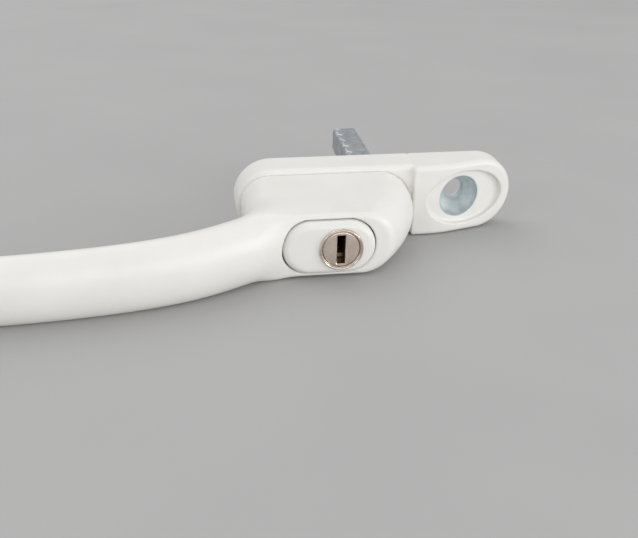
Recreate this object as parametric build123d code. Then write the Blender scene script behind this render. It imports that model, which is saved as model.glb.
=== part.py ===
from build123d import *
import os
from math import cos, pi, radians, sin, tan

# Keyed window handle with a push button lock, in millimetres.
#
# Design frame: X runs along the base, Y across it and Z out of the window face.
# The origin is where the spindle axis crosses the back face of the base.
# Every piece is modelled in this frame and turned once, when it is written, so
# that Z becomes -Y: the spindle then points along +Y, into the window.
TO_PART_FRAME = Rot(90, 0, 0)

# Base plate: the block's top is flat beside the lever, then falls to the end of the base
BASE_LENGTH = 73.0
BASE_WIDTH = 19.0
PLATFORM_HEIGHT = 9.2
BLOCK_HEIGHT = 10.9
BLOCK_START = 8.5
BLOCK_FLAT_END = 12.0
BLOCK_BEND_RADIUS = 30.0
BLOCK_FALL_ANGLE = 15.5
BASE_EDGE_ROUND = 1.3
BLOCK_INNER_ROUND = 0.5
CAP_RECESS_LENGTH = 21.4
CAP_RECESS_WIDTH = 14.3
CAP_RECESS_CENTRE = 22.9
CAP_RECESS_DEPTH = 1.4

# Fixing screws: two, at the standard 43 mm centres
SCREW_SPACING = 43.0
SCREW_HOLE = 5.5
SCREW_HEAD_BORE = 11.0
SCREW_SEAT_HEIGHT = 3.0

# Pivot, from the back of the base outwards
BACK_RECESS = 16.4
BACK_RECESS_DEPTH = 4.4
NECK = 12.0
NECK_END = 0.8
RUNNING_CLEARANCE = 0.05
BUSH_OUTER = 14.0
BUSH_FLANGE = 15.8
BUSH_FLANGE_SEAT = 8.6
BUSH_TOP = 9.45
RING_GROOVE = 10.8
RING_OUTER = 15.2
RING_BOTTOM = 1.8
RING_THICKNESS = 1.0
RING_GAP = 3.2
RING_EYE = 1.2
RING_EYE_ANGLE = 25.0
THRUST_WASHER_OUTER = 15.8
THRUST_WASHER_BOTTOM = 2.9
THRUST_WASHER_THICKNESS = 0.6
SPRING_WASHER_INNER = 12.5
SPRING_WASHER_OUTER = 16.0
SPRING_WASHER_THICKNESS = 0.3
SPRING_WASHER_BOTTOM = 3.55
SPRING_WASHER_TOP = 4.35

# Spindle
SPINDLE = 7.0
SPINDLE_REACH = 40.0
SPINDLE_TOP = 15.0
SPINDLE_EDGE = 1.1
SPINDLE_TIP_CHAMFER = 1.0
SPINDLE_SOCKET_CLEARANCE = 0.04
NOTCH_PITCH = 5.0
NOTCH_FIRST = 1.8
NOTCH_COUNT = 7
NOTCH_SPREAD = 1.3
NOTCH_RADIUS = 3.75
CROSS_PIN = 2.0
CROSS_PIN_LENGTH = 11.4
CROSS_PIN_HEIGHT = 6.6
CROSS_PIN_CHAMFER = 0.2

# Head of the lever: its nose leans back as it rises
HEAD_BOTTOM = 9.5
HEAD_LEFT = -35.4
HEAD_RIGHT = 7.6
HEAD_HALF_WIDTH = 8.4
HEAD_LEFT_CORNER = 7.0
HEAD_DRAFT_ANGLE = 1.6
HEAD_FRONT = 33.5
HEAD_FLOOR = 13.5
HEAD_EDGE_ROUND = 1.2
HEAD_SPARE_DEPTH = 0.5
NOSE_START = 14.0
NOSE_DRAFT = 0.04
NOSE_SLOPE = 0.1
NOSE_BEND = 0.036
NOSE_SECTIONS = 4

# Grip of the lever: an oval bar that rises out of the head and runs to a round tip
GRIP_POINTS = [(-23, 22.5), (-38.5, 34.6), (-56, 42.1), (-82, 45.9), (-115.5, 46.6)]
GRIP_START_DIRECTION = (-0.74, 0, 0.67)
GRIP_SECTIONS = 12
GRIP_ROOT_HALF_WIDTH = 7.9
GRIP_ROOT_HALF_THICKNESS = 6.6
GRIP_TIP_HALF_WIDTH = 7.5
GRIP_TIP_HALF_THICKNESS = 5.0
GRIP_TIP_LENGTH = 7.0
GRIP_TIP_OVERLAP = 0.5
GRIP_TIP_STEP = 0.03

# Push button: a rounded cap with a narrower guide block behind it
BUTTON_CENTRE = -17.3
BUTTON_LENGTH = 21.6
BUTTON_WIDTH = 13.0
BUTTON_FACE = 35.2
BUTTON_EDGE_ROUND = 1.4
BUTTON_CAP_BACK = 27.5
BUTTON_TRAVEL = 2.5
BUTTON_CLEARANCE = 0.15
BLOCK_LEFT = -25.4
BLOCK_RIGHT = -8.2
BLOCK_HALF_WIDTH = 5.55
BLOCK_BACK = 16.5
BLOCK_CORNER = 2.0

# Lock cylinder
CYLINDER_X = -14.75
HOUSING_OUTER = 9.8
HOUSING_RIM = 10.3
HOUSING_RIM_TOP = 35.9
HOUSING_RIM_ROUND = 0.3
HOUSING_BACK = 21.6
HOUSING_WALL = 1.0
PLUG = 8.6
PLUG_FACE = 35.4
PLUG_CHAMFER = 0.15
KEYWAY_WIDTH = 1.9
KEYWAY_TOP = 3.4
KEYWAY_BOTTOM = -3.65
KEYWAY_FLOOR = 24.0
TAIL = 3.9
TAIL_SQUARE = 2.6
TAIL_END = 20.95
GRUB = 2.5
GRUB_LENGTH = 1.6
GRUB_HEIGHT = 24.0
GRUB_SOCKET = 1.3
GRUB_SOCKET_DEPTH = 0.9

# Wafers in the plug, one behind the other, each lifted by its own spring
WAFER_COUNT = 5
WAFER_FIRST = 25.4
WAFER_PITCH = 1.5
WAFER_THICKNESS = 0.5
WAFER_WIDTH = 4.0
WAFER_LENGTH = 7.0
WAFER_WINDOW_WIDTH = 2.1
WAFER_WINDOW_LENGTH = 5.0
WAFER_WINDOW_DROP = 0.1
WAFER_EAR_REACH = 3.2
WAFER_EAR_HEIGHT = 0.7
WAFER_EAR_LOW = 0.9
WAFER_CLEARANCE = 0.04
WAFER_SPRING_X = 2.7
WAFER_SPRING_RADIUS = 0.36
WAFER_SPRING_WIRE = 0.1
WAFER_SPRING_LENGTH = 2.2
WAFER_SPRING_TURNS = 4

# Cam on the tail of the plug, and the catch that it throws sideways
CAM_RADIUS = 4.7
CAM_BOTTOM = 20.35
CAM_TOP = 21.5
CAM_SCREW = 1.6
CAM_SCREW_LENGTH = 2.2
CAM_SCREW_HEAD = 3.0
CAM_SCREW_HEAD_HEIGHT = 0.45
CAM_SCREW_SLOT = 0.5
CAM_GROOVE_STEPS = 6
CATCH_THROW = 1.2
CATCH_WIDTH = 5.0
CATCH_BOTTOM = 18.6
CATCH_TOP = 20.2
CATCH_REAR = -4.2
CATCH_NOSE = 5.4
CATCH_CLEARANCE = 0.1
CATCH_CHAMFER = 0.5
PEG = 1.0
PEG_START = 2.6
PEG_TOP = 21.3

# Locking pin and the spring that returns the button
PIN_X = -12.3
PIN_TIP = 4.0
PIN_TIP_BOTTOM = 9.65
PIN_TIP_CHAMFER = 0.4
PIN_SHOULDER = 11.5
PIN_SHANK = 3.0
PIN_THREAD = 2.0
PIN_THREAD_LENGTH = 1.8
PIN_HOLE_DEPTH = 3.4
SPRING_X = -22.2
SPRING_MEAN_RADIUS = 1.6
SPRING_WIRE = 0.45
SPRING_TURNS = 7
SPRING_LENGTH = 8.8
WIRE_SIDES = 6


def cylinder(radius, bottom, top, x=0.0, y=0.0):
    """An upright cylinder between two heights."""
    return Pos(x, y, (bottom + top) / 2) * Cylinder(radius, top - bottom)


def box(x_range, y_range, z_range):
    """A box between two values on each axis."""
    size = [high - low for low, high in (x_range, y_range, z_range)]
    middle = [(high + low) / 2 for low, high in (x_range, y_range, z_range)]
    return Pos(*middle) * Box(*size)


def ring(outer_radius, inner_radius, bottom, top):
    """A flat ring about the spindle axis."""
    return cylinder(outer_radius, bottom, top) - cylinder(inner_radius, bottom, top)


def coil(mean_radius, wire, length, turns):
    """A compression spring along +Z from the origin; its wire is six-sided."""
    path = Helix(pitch=(length - wire) / turns, height=length - wire, radius=mean_radius)
    section = Plane(origin=path @ 0, z_dir=path % 0) * RegularPolygon(wire / 2, WIRE_SIDES)
    return Pos(0, 0, wire / 2) * sweep(section, path=path)


def slot_prism(length, width, bottom, top, x=0.0):
    """An upright prism with two straight sides and two round ends."""
    return Pos(x, 0, bottom) * extrude(SlotOverall(length, width), amount=top - bottom)


def top_edges(solid, height):
    """The edges that lie flat at one height."""
    return [edge for edge in solid.edges() if all(abs(v.Z - height) < 1e-4 for v in edge.vertices())]


# ---------------------------------------------------------------- base and pivot

def block_profile():
    """Everything under the block's top: flat, then a bend, then a straight fall."""
    flat = Line((-BASE_LENGTH, BLOCK_HEIGHT), (BLOCK_FLAT_END, BLOCK_HEIGHT))
    bend = JernArc(flat @ 1, (1, 0), BLOCK_BEND_RADIUS, -BLOCK_FALL_ANGLE)
    fall = PolarLine(bend @ 1, BASE_LENGTH / 2, direction=bend % 1)
    far_end = fall @ 1
    floor = Polyline(far_end, (far_end.X, 0), (-BASE_LENGTH, 0), flat @ 0)
    side_view = make_face([flat, bend, fall, floor])
    return extrude(Plane.XZ * side_view, amount=BASE_WIDTH, both=True)


def cap_recess():
    """Oval recess for a cover cap: its floor is flat and falls with the end of the block."""
    bend_end = BLOCK_FLAT_END + BLOCK_BEND_RADIUS * sin(radians(BLOCK_FALL_ANGLE))
    bend_drop = BLOCK_BEND_RADIUS * (1 - cos(radians(BLOCK_FALL_ANGLE)))
    floor = Plane((bend_end, 0, BLOCK_HEIGHT - bend_drop), z_dir=(0, 0, 1))
    floor = floor.rotated((0, BLOCK_FALL_ANGLE, 0)).offset(-CAP_RECESS_DEPTH)
    above = floor * Pos(0, 0, BASE_LENGTH) * Box(2 * BASE_LENGTH, 2 * BASE_LENGTH, 2 * BASE_LENGTH)
    oval = Ellipse(CAP_RECESS_LENGTH / 2, CAP_RECESS_WIDTH / 2)
    return Pos(CAP_RECESS_CENTRE, 0, 0) * extrude(oval, amount=2 * BLOCK_HEIGHT) & above


def base_plate():
    """Cast base: a low platform under the lever and a raised block at one end."""
    platform = slot_prism(BASE_LENGTH, BASE_WIDTH, 0, PLATFORM_HEIGHT)
    platform &= box((-BASE_LENGTH, BLOCK_START + 1), (-BASE_WIDTH, BASE_WIDTH), (0, PLATFORM_HEIGHT))
    rim = [edge for edge in top_edges(platform, PLATFORM_HEIGHT) if edge.center().X < BLOCK_START]
    platform = fillet(rim, BASE_EDGE_ROUND)
    block = slot_prism(BASE_LENGTH, BASE_WIDTH, 0, BLOCK_HEIGHT) & block_profile()
    rim = [edge for edge in block.edges() if min(v.Z for v in edge.vertices()) > 1]
    block = fillet(rim, BASE_EDGE_ROUND)
    block &= box((BLOCK_START, BASE_LENGTH), (-BASE_WIDTH, BASE_WIDTH), (0, BLOCK_HEIGHT))
    inner = [edge for edge in block.edges() if abs(edge.center().X - BLOCK_START) < 0.01]
    block = fillet([edge for edge in inner if edge.center().Z > 1], BLOCK_INNER_ROUND)
    plate = platform + block - cap_recess()
    for side in (-1, 1):
        hole_x = side * SCREW_SPACING / 2
        plate -= cylinder(SCREW_HOLE / 2, 0, BLOCK_HEIGHT, hole_x)
        plate -= screw_well(hole_x)
    plate -= cylinder(BUSH_OUTER / 2, 0, BLOCK_HEIGHT)
    plate -= cylinder(BUSH_FLANGE / 2, BUSH_FLANGE_SEAT, BLOCK_HEIGHT)
    plate -= cylinder(BACK_RECESS / 2, 0, BACK_RECESS_DEPTH)
    pin_hole_radius = PIN_TIP / 2 + CATCH_CLEARANCE
    plate -= cylinder(pin_hole_radius, PLATFORM_HEIGHT - PIN_HOLE_DEPTH, BLOCK_HEIGHT, PIN_X)
    return plate


def screw_well(x):
    """Well for a countersunk screw: a 90 degree cone, then straight walls."""
    cone_height = (SCREW_HEAD_BORE - SCREW_HOLE) / 2
    cone = Pos(x, 0, SCREW_SEAT_HEIGHT + cone_height / 2)
    cone *= Cone(SCREW_HOLE / 2, SCREW_HEAD_BORE / 2, cone_height)
    return cone + cylinder(SCREW_HEAD_BORE / 2, SCREW_SEAT_HEIGHT + cone_height, BLOCK_HEIGHT, x)


def base_bush():
    """Flanged nylon bush that the neck of the lever turns in."""
    inner = NECK / 2 + RUNNING_CLEARANCE
    sleeve = ring(BUSH_OUTER / 2, inner, BACK_RECESS_DEPTH, BUSH_TOP)
    return sleeve + ring(BUSH_FLANGE / 2, inner, BUSH_FLANGE_SEAT, BUSH_TOP)


def spring_washer():
    """Conical spring washer that takes up the play in the pivot."""
    low = SPRING_WASHER_BOTTOM
    high = SPRING_WASHER_TOP - SPRING_WASHER_THICKNESS
    inner = SPRING_WASHER_INNER / 2
    outer = SPRING_WASHER_OUTER / 2
    section = Polyline(
        (inner, low),
        (outer, high),
        (outer, high + SPRING_WASHER_THICKNESS),
        (inner, low + SPRING_WASHER_THICKNESS),
        close=True,
    )
    return revolve(Plane.XZ * make_face(section), axis=Axis.Z)


def thrust_washer():
    """Flat washer between the spring washer and the retaining ring."""
    inner = NECK / 2 + RUNNING_CLEARANCE
    top = THRUST_WASHER_BOTTOM + THRUST_WASHER_THICKNESS
    return ring(THRUST_WASHER_OUTER / 2, inner, THRUST_WASHER_BOTTOM, top)


def retaining_ring():
    """Open ring in the groove of the neck, with an eye each side of its gap."""
    top = RING_BOTTOM + RING_THICKNESS
    clip = ring(RING_OUTER / 2, RING_GROOVE / 2, RING_BOTTOM, top)
    clip -= box((0, RING_OUTER), (-RING_GAP / 2, RING_GAP / 2), (RING_BOTTOM, top))
    eye_radius = (RING_OUTER + RING_GROOVE) / 4
    for side in (-1, 1):
        eye = Rot(0, 0, side * RING_EYE_ANGLE) * Pos(eye_radius, 0, 0)
        clip -= eye * cylinder(RING_EYE / 2, RING_BOTTOM, top)
    return clip


def spindle():
    """Square bar to the window gear, with notches where it can be snapped shorter."""
    length = SPINDLE_TOP + SPINDLE_REACH
    middle = (SPINDLE_TOP - SPINDLE_REACH) / 2
    bar = Pos(0, 0, middle) * Box(SPINDLE, SPINDLE, length)
    bar = fillet(bar.edges().filter_by(Axis.Z), SPINDLE_EDGE)
    bar = chamfer(bar.faces().sort_by(Axis.Z)[0].edges(), SPINDLE_TIP_CHAMFER)
    half_width = (SPINDLE - NOTCH_RADIUS) * NOTCH_SPREAD
    for index in range(NOTCH_COUNT):
        height = NOTCH_FIRST + index * NOTCH_PITCH - SPINDLE_REACH
        section = Polyline(
            (NOTCH_RADIUS, height),
            (SPINDLE, height - half_width),
            (SPINDLE, height + half_width),
            close=True,
        )
        bar -= revolve(Plane.XZ * make_face(section), axis=Axis.Z)
    return bar - cross_pin_shape(SPINDLE)


def cross_pin_shape(length):
    """A cylinder across the neck at the height of the cross pin."""
    return Pos(0, 0, CROSS_PIN_HEIGHT) * Rot(90, 0, 0) * Cylinder(CROSS_PIN / 2, length)


def spindle_pin():
    """Cross pin that holds the spindle in the neck of the lever."""
    pin = cross_pin_shape(CROSS_PIN_LENGTH)
    return chamfer(pin.edges().filter_by(GeomType.CIRCLE), CROSS_PIN_CHAMFER)


# ---------------------------------------------------------------- lever

def head_section(height):
    """Outline of the head at one height: rounded at the left, a full round at the nose."""
    rise = height - HEAD_BOTTOM
    half_width = HEAD_HALF_WIDTH - rise * tan(radians(HEAD_DRAFT_ANGLE))
    nose = HEAD_RIGHT - NOSE_DRAFT * rise
    if height > NOSE_START:
        nose_rise = height - NOSE_START
        nose -= NOSE_SLOPE * nose_rise + NOSE_BEND * nose_rise ** 2 / 2
    corner = HEAD_LEFT_CORNER
    nose_centre = nose - half_width
    side = half_width - corner
    edges = [
        Line((nose_centre, -half_width), (HEAD_LEFT + corner, -half_width)),
        JernArc((HEAD_LEFT + corner, -half_width), (-1, 0), corner, -90),
        Line((HEAD_LEFT, -side), (HEAD_LEFT, side)),
        JernArc((HEAD_LEFT, side), (0, 1), corner, -90),
        Line((HEAD_LEFT + corner, half_width), (nose_centre, half_width)),
        JernArc((nose_centre, half_width), (1, 0), half_width, -180),
    ]
    return Pos(0, 0, height) * make_face(edges)


def head_shell():
    """Outside of the head, lofted through its outlines, with a rounded front edge."""
    lower = loft(Sketch() + [head_section(HEAD_BOTTOM), head_section(NOSE_START)], ruled=True)
    rise = HEAD_FRONT - NOSE_START
    heights = [NOSE_START + rise * step / NOSE_SECTIONS for step in range(NOSE_SECTIONS + 1)]
    upper = loft(Sketch() + [head_section(height) for height in heights])
    upper = fillet(top_edges(upper, HEAD_FRONT), HEAD_EDGE_ROUND)
    return lower + upper


def grip_line():
    """Centreline of the grip, from inside the head to the start of its round tip."""
    points = [(x, 0, z) for x, z in GRIP_POINTS]
    return Spline(points, tangents=[GRIP_START_DIRECTION, (-1, 0, 0)])


def grip():
    """The grip: even oval sections along its centreline, then an ellipsoid tip."""
    line = grip_line()
    sections = []
    for step in range(GRIP_SECTIONS + 1):
        along = step / GRIP_SECTIONS
        half_width = GRIP_TIP_HALF_WIDTH + (GRIP_ROOT_HALF_WIDTH - GRIP_TIP_HALF_WIDTH) * (1 - along)
        swell = (GRIP_ROOT_HALF_THICKNESS - GRIP_TIP_HALF_THICKNESS) * (1 - along) ** 3
        plane = Plane(origin=line @ along, x_dir=(0, 1, 0), z_dir=line % along)
        sections.append(plane * Ellipse(half_width, GRIP_TIP_HALF_THICKNESS + swell))
    bar = loft(Sketch() + sections)
    tip_half_width = GRIP_TIP_HALF_WIDTH - GRIP_TIP_STEP
    tip_half_thickness = GRIP_TIP_HALF_THICKNESS - GRIP_TIP_STEP
    tip = scale(Sphere(1), by=(GRIP_TIP_LENGTH, tip_half_width, tip_half_thickness))
    tip_x, tip_height = GRIP_POINTS[-1]
    return bar + Pos(tip_x + GRIP_TIP_OVERLAP, 0, tip_height) * tip


def lever_handle():
    """Cast lever: head, grip and neck in one piece, cored for the lock."""
    lever = head_shell() + grip()
    lever += cylinder(NECK / 2, NECK_END, HEAD_BOTTOM)
    groove_top = RING_BOTTOM + RING_THICKNESS + RUNNING_CLEARANCE
    lever -= ring(NECK, RING_GROOVE / 2, RING_BOTTOM - RUNNING_CLEARANCE, groove_top)
    socket = SPINDLE / 2 + SPINDLE_SOCKET_CLEARANCE
    lever -= box((-socket, socket), (-socket, socket), (NECK_END, SPINDLE_TOP + HEAD_SPARE_DEPTH))
    lever -= cross_pin_shape(2 * NECK)
    pocket_length = BUTTON_LENGTH + 2 * BUTTON_CLEARANCE
    pocket_width = BUTTON_WIDTH + 2 * BUTTON_CLEARANCE
    pocket_floor = BUTTON_CAP_BACK - BUTTON_TRAVEL - HEAD_SPARE_DEPTH
    lever -= slot_prism(pocket_length, pocket_width, pocket_floor, 2 * HEAD_FRONT, BUTTON_CENTRE)
    lever -= guide_prism(BUTTON_CLEARANCE, HEAD_FLOOR, BUTTON_FACE)
    lever -= cylinder(PIN_SHANK / 2 + RUNNING_CLEARANCE, HEAD_BOTTOM, HEAD_FLOOR, PIN_X)
    shoulder_seat = PIN_SHOULDER + CATCH_CLEARANCE
    lever -= cylinder(PIN_TIP / 2 + CATCH_CLEARANCE, HEAD_BOTTOM, shoulder_seat, PIN_X)
    for drop in (0, BUTTON_TRAVEL):
        lever -= catch_pocket(drop)
    return lever


def guide_prism(clearance, bottom, top):
    """The guide block's outline, grown by a clearance, between two heights."""
    length = BLOCK_RIGHT - BLOCK_LEFT + 2 * clearance
    middle = (BLOCK_RIGHT + BLOCK_LEFT) / 2
    outline = RectangleRounded(length, 2 * (BLOCK_HALF_WIDTH + clearance), BLOCK_CORNER)
    return Pos(middle, 0, bottom) * extrude(outline, amount=top - bottom)


def catch_pocket(drop):
    """Pocket in the side wall of the head for the nose of the catch."""
    half = CATCH_WIDTH / 2 + CATCH_CLEARANCE
    deepest = CATCH_NOSE + CATCH_THROW + CATCH_CLEARANCE
    heights = (CATCH_BOTTOM - CATCH_CLEARANCE - drop, CATCH_TOP + CATCH_CLEARANCE - drop)
    return box((CYLINDER_X - half, CYLINDER_X + half), (0, deepest), heights)


# ---------------------------------------------------------------- button and cylinder

def push_button():
    """Button that slides in the head and carries the lock cylinder."""
    cap = slot_prism(BUTTON_LENGTH, BUTTON_WIDTH, BUTTON_CAP_BACK, BUTTON_FACE, BUTTON_CENTRE)
    cap = fillet(top_edges(cap, BUTTON_FACE), BUTTON_EDGE_ROUND)
    button = cap + guide_prism(0, BLOCK_BACK, BUTTON_CAP_BACK + 1)
    button -= cylinder(HOUSING_OUTER / 2, CATCH_TOP, BUTTON_FACE + 1, CYLINDER_X)
    half = CATCH_WIDTH / 2 + CATCH_CLEARANCE
    button -= box(
        (CYLINDER_X - half, CYLINDER_X + half),
        (CATCH_REAR - CATCH_CLEARANCE, BUTTON_WIDTH),
        (CATCH_BOTTOM - CATCH_CLEARANCE, CATCH_TOP + CATCH_CLEARANCE),
    )
    spring_hole = SPRING_MEAN_RADIUS + SPRING_WIRE
    spring_top = HEAD_FLOOR + SPRING_LENGTH
    button -= cylinder(spring_hole, BLOCK_BACK, spring_top, SPRING_X)
    button -= cylinder(PIN_THREAD / 2, BLOCK_BACK, BLOCK_BACK + PIN_THREAD_LENGTH, PIN_X)
    return button - grub_shape(CYLINDER_X, BUTTON_CENTRE + BUTTON_LENGTH)


def grub_shape(start, end):
    """A cylinder along X at the height of the grub screw."""
    middle = (start + end) / 2
    return Pos(middle, 0, GRUB_HEIGHT) * Rot(0, 90, 0) * Cylinder(GRUB / 2, end - start)


def cylinder_grub_screw():
    """Grub screw that holds the housing in the button, with a square socket."""
    start = CYLINDER_X + HOUSING_OUTER / 2
    end = start + GRUB_LENGTH
    half = GRUB_SOCKET / 2
    socket = box((end - GRUB_SOCKET_DEPTH, end), (-half, half), (GRUB_HEIGHT - half, GRUB_HEIGHT + half))
    return grub_shape(start, end) - socket


def cylinder_housing():
    """Plated housing of the lock cylinder, with a rim on the button's face."""
    shell = cylinder(HOUSING_OUTER / 2, HOUSING_BACK, HOUSING_RIM_TOP, CYLINDER_X)
    shell += cylinder(HOUSING_RIM / 2, BUTTON_FACE, HOUSING_RIM_TOP, CYLINDER_X)
    shell = fillet(top_edges(shell, HOUSING_RIM_TOP), HOUSING_RIM_ROUND)
    bore = PLUG / 2 + RUNNING_CLEARANCE
    shell -= cylinder(bore, HOUSING_BACK + HOUSING_WALL, HOUSING_RIM_TOP, CYLINDER_X)
    shell -= cylinder(TAIL / 2 + RUNNING_CLEARANCE, HOUSING_BACK, HOUSING_RIM_TOP, CYLINDER_X)
    return shell


def wafer_outline(clearance):
    """A wafer's outline with the ear that its spring lifts."""
    width = WAFER_WIDTH + 2 * clearance
    plate = Rectangle(width, WAFER_LENGTH + 2 * clearance)
    ear_length = WAFER_EAR_REACH + clearance
    ear_height = WAFER_EAR_HEIGHT + 2 * clearance
    ear_middle = WAFER_EAR_LOW + WAFER_EAR_HEIGHT / 2
    return plate + Pos(ear_length / 2, ear_middle) * Rectangle(ear_length, ear_height)


def wafer_heights():
    """The underside height of each wafer."""
    return [WAFER_FIRST + index * WAFER_PITCH for index in range(WAFER_COUNT)]


def key_plug():
    """Plug that the key turns: keyway, wafer slots, spring pockets and tail."""
    plug_back = HOUSING_BACK + HOUSING_WALL + RUNNING_CLEARANCE
    plug = cylinder(PLUG / 2, plug_back, PLUG_FACE)
    plug = chamfer(top_edges(plug, PLUG_FACE), PLUG_CHAMFER)
    plug += cylinder(TAIL / 2, CAM_TOP + RUNNING_CLEARANCE, plug_back)
    half = TAIL_SQUARE / 2
    plug += box((-half, half), (-half, half), (TAIL_END, plug_back))
    half_slot = KEYWAY_WIDTH / 2
    plug -= box((-half_slot, half_slot), (KEYWAY_BOTTOM, KEYWAY_TOP), (KEYWAY_FLOOR, PLUG_FACE))
    thickness = WAFER_THICKNESS + 2 * WAFER_CLEARANCE
    slot = extrude(wafer_outline(WAFER_CLEARANCE), amount=thickness)
    pocket_radius = WAFER_SPRING_RADIUS + WAFER_SPRING_WIRE
    for height in wafer_heights():
        plug -= Pos(0, 0, height - WAFER_CLEARANCE) * slot
        plug -= Pos(0, 0, height) * spring_pocket(pocket_radius)
    screw_depth = CAM_SCREW_LENGTH
    plug -= cylinder(CAM_SCREW / 2, TAIL_END, CAM_BOTTOM + CAM_SCREW_HEAD_HEIGHT + screw_depth)
    return Pos(CYLINDER_X, 0, 0) * plug


def spring_pocket(radius):
    """Round pocket for a wafer spring, below the wafer's ear."""
    middle = WAFER_EAR_LOW - WAFER_SPRING_LENGTH / 2
    place = Pos(WAFER_SPRING_X, middle, WAFER_THICKNESS / 2) * Rot(90, 0, 0)
    return place * Cylinder(radius, WAFER_SPRING_LENGTH)


def wafers():
    """Five brass wafers."""
    window = Pos(0, -WAFER_WINDOW_DROP) * Rectangle(WAFER_WINDOW_WIDTH, WAFER_WINDOW_LENGTH)
    wafer = extrude(wafer_outline(0) - window, amount=WAFER_THICKNESS)
    return Compound(children=[Pos(CYLINDER_X, 0, height) * wafer for height in wafer_heights()])


def wafer_springs():
    """Five small springs, one below the ear of each wafer."""
    spring = coil(WAFER_SPRING_RADIUS, WAFER_SPRING_WIRE, WAFER_SPRING_LENGTH, WAFER_SPRING_TURNS)
    springs = []
    for height in wafer_heights():
        start = (CYLINDER_X + WAFER_SPRING_X, WAFER_EAR_LOW, height + WAFER_THICKNESS / 2)
        springs.append(Pos(*start) * Rot(90, 0, 0) * spring)
    return Compound(children=springs)


def spiral_groove(half_width):
    """Outline of the cam's groove: its radius grows evenly as the key turns."""
    inner = []
    outer = []
    for step in range(-1, CAM_GROOVE_STEPS + 2):
        turn = step / CAM_GROOVE_STEPS
        radius = PEG_START + CATCH_THROW * turn
        angle = pi / 2 + turn * pi / 2
        inner.append(((radius - half_width) * cos(angle), (radius - half_width) * sin(angle)))
        outer.append(((radius + half_width) * cos(angle), (radius + half_width) * sin(angle)))
    edges = [Spline(*inner), Line(inner[-1], outer[-1]), Spline(*outer), Line(outer[0], inner[0])]
    return make_face(edges)


def plug_cam():
    """Disc on the tail of the plug with a spiral groove for the catch's peg."""
    disc = cylinder(CAM_RADIUS, CAM_BOTTOM, CAM_TOP)
    groove = spiral_groove(PEG / 2 + CATCH_CLEARANCE)
    disc -= Pos(0, 0, CAM_BOTTOM) * extrude(groove, amount=CAM_TOP - CAM_BOTTOM)
    half = TAIL_SQUARE / 2
    disc -= box((-half, half), (-half, half), (CAM_BOTTOM, CAM_TOP))
    head_top = CAM_BOTTOM + CAM_SCREW_HEAD_HEIGHT + RUNNING_CLEARANCE
    disc -= cylinder(CAM_SCREW_HEAD / 2 + RUNNING_CLEARANCE, CAM_BOTTOM, head_top)
    return Pos(CYLINDER_X, 0, 0) * disc


def cam_screw():
    """Small slotted screw that holds the cam on the tail."""
    head_bottom = CAM_BOTTOM + RUNNING_CLEARANCE
    head_top = CAM_BOTTOM + CAM_SCREW_HEAD_HEIGHT
    screw = cylinder(CAM_SCREW_HEAD / 2, head_bottom, head_top)
    screw += cylinder(CAM_SCREW / 2, head_bottom, head_top + CAM_SCREW_LENGTH)
    half = CAM_SCREW_SLOT / 2
    slot_top = head_bottom + CAM_SCREW_HEAD_HEIGHT / 2
    screw -= box((-CAM_SCREW_HEAD, CAM_SCREW_HEAD), (-half, half), (head_bottom, slot_top))
    return Pos(CYLINDER_X, 0, 0) * screw


def lock_catch():
    """Sliding catch: its nose enters the head's pockets, its peg rides in the cam."""
    half = CATCH_WIDTH / 2
    catch = box((-half, half), (CATCH_REAR, CATCH_NOSE), (CATCH_BOTTOM, CATCH_TOP))
    nose = catch.edges().filter_by(Axis.Z).group_by(Axis.Y)[-1]
    catch = chamfer(nose, CATCH_CHAMFER)
    catch += cylinder(PEG / 2, CATCH_BOTTOM, PEG_TOP, 0, PEG_START)
    return Pos(CYLINDER_X, 0, 0) * catch


def locking_pin():
    """Steel pin on the back of the button; pressed in, it enters the base."""
    tip = cylinder(PIN_TIP / 2, PIN_TIP_BOTTOM, PIN_SHOULDER)
    tip = chamfer(tip.edges().group_by(Axis.Z)[0], PIN_TIP_CHAMFER)
    pin = tip + cylinder(PIN_SHANK / 2, PIN_SHOULDER, BLOCK_BACK)
    pin += cylinder(PIN_THREAD / 2, BLOCK_BACK, BLOCK_BACK + PIN_THREAD_LENGTH)
    return Pos(PIN_X, 0, 0) * pin


def button_spring():
    """Compression spring between the floor of the head and the button."""
    spring = coil(SPRING_MEAN_RADIUS, SPRING_WIRE, SPRING_LENGTH, SPRING_TURNS)
    return Pos(SPRING_X, 0, HEAD_FLOOR) * spring


PIECES = [
    base_plate,
    base_bush,
    spring_washer,
    thrust_washer,
    retaining_ring,
    spindle,
    spindle_pin,
    lever_handle,
    push_button,
    cylinder_grub_screw,
    cylinder_housing,
    key_plug,
    wafers,
    wafer_springs,
    plug_cam,
    cam_screw,
    lock_catch,
    locking_pin,
    button_spring,
]

os.makedirs("parts", exist_ok=True)
for piece in PIECES:
    export_step(TO_PART_FRAME * piece(), f"parts/{piece.__name__}.step")
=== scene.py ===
"""Keyed window handle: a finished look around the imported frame."""
import math

import bpy
import numpy as np
from mathutils import Matrix, Vector


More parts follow.
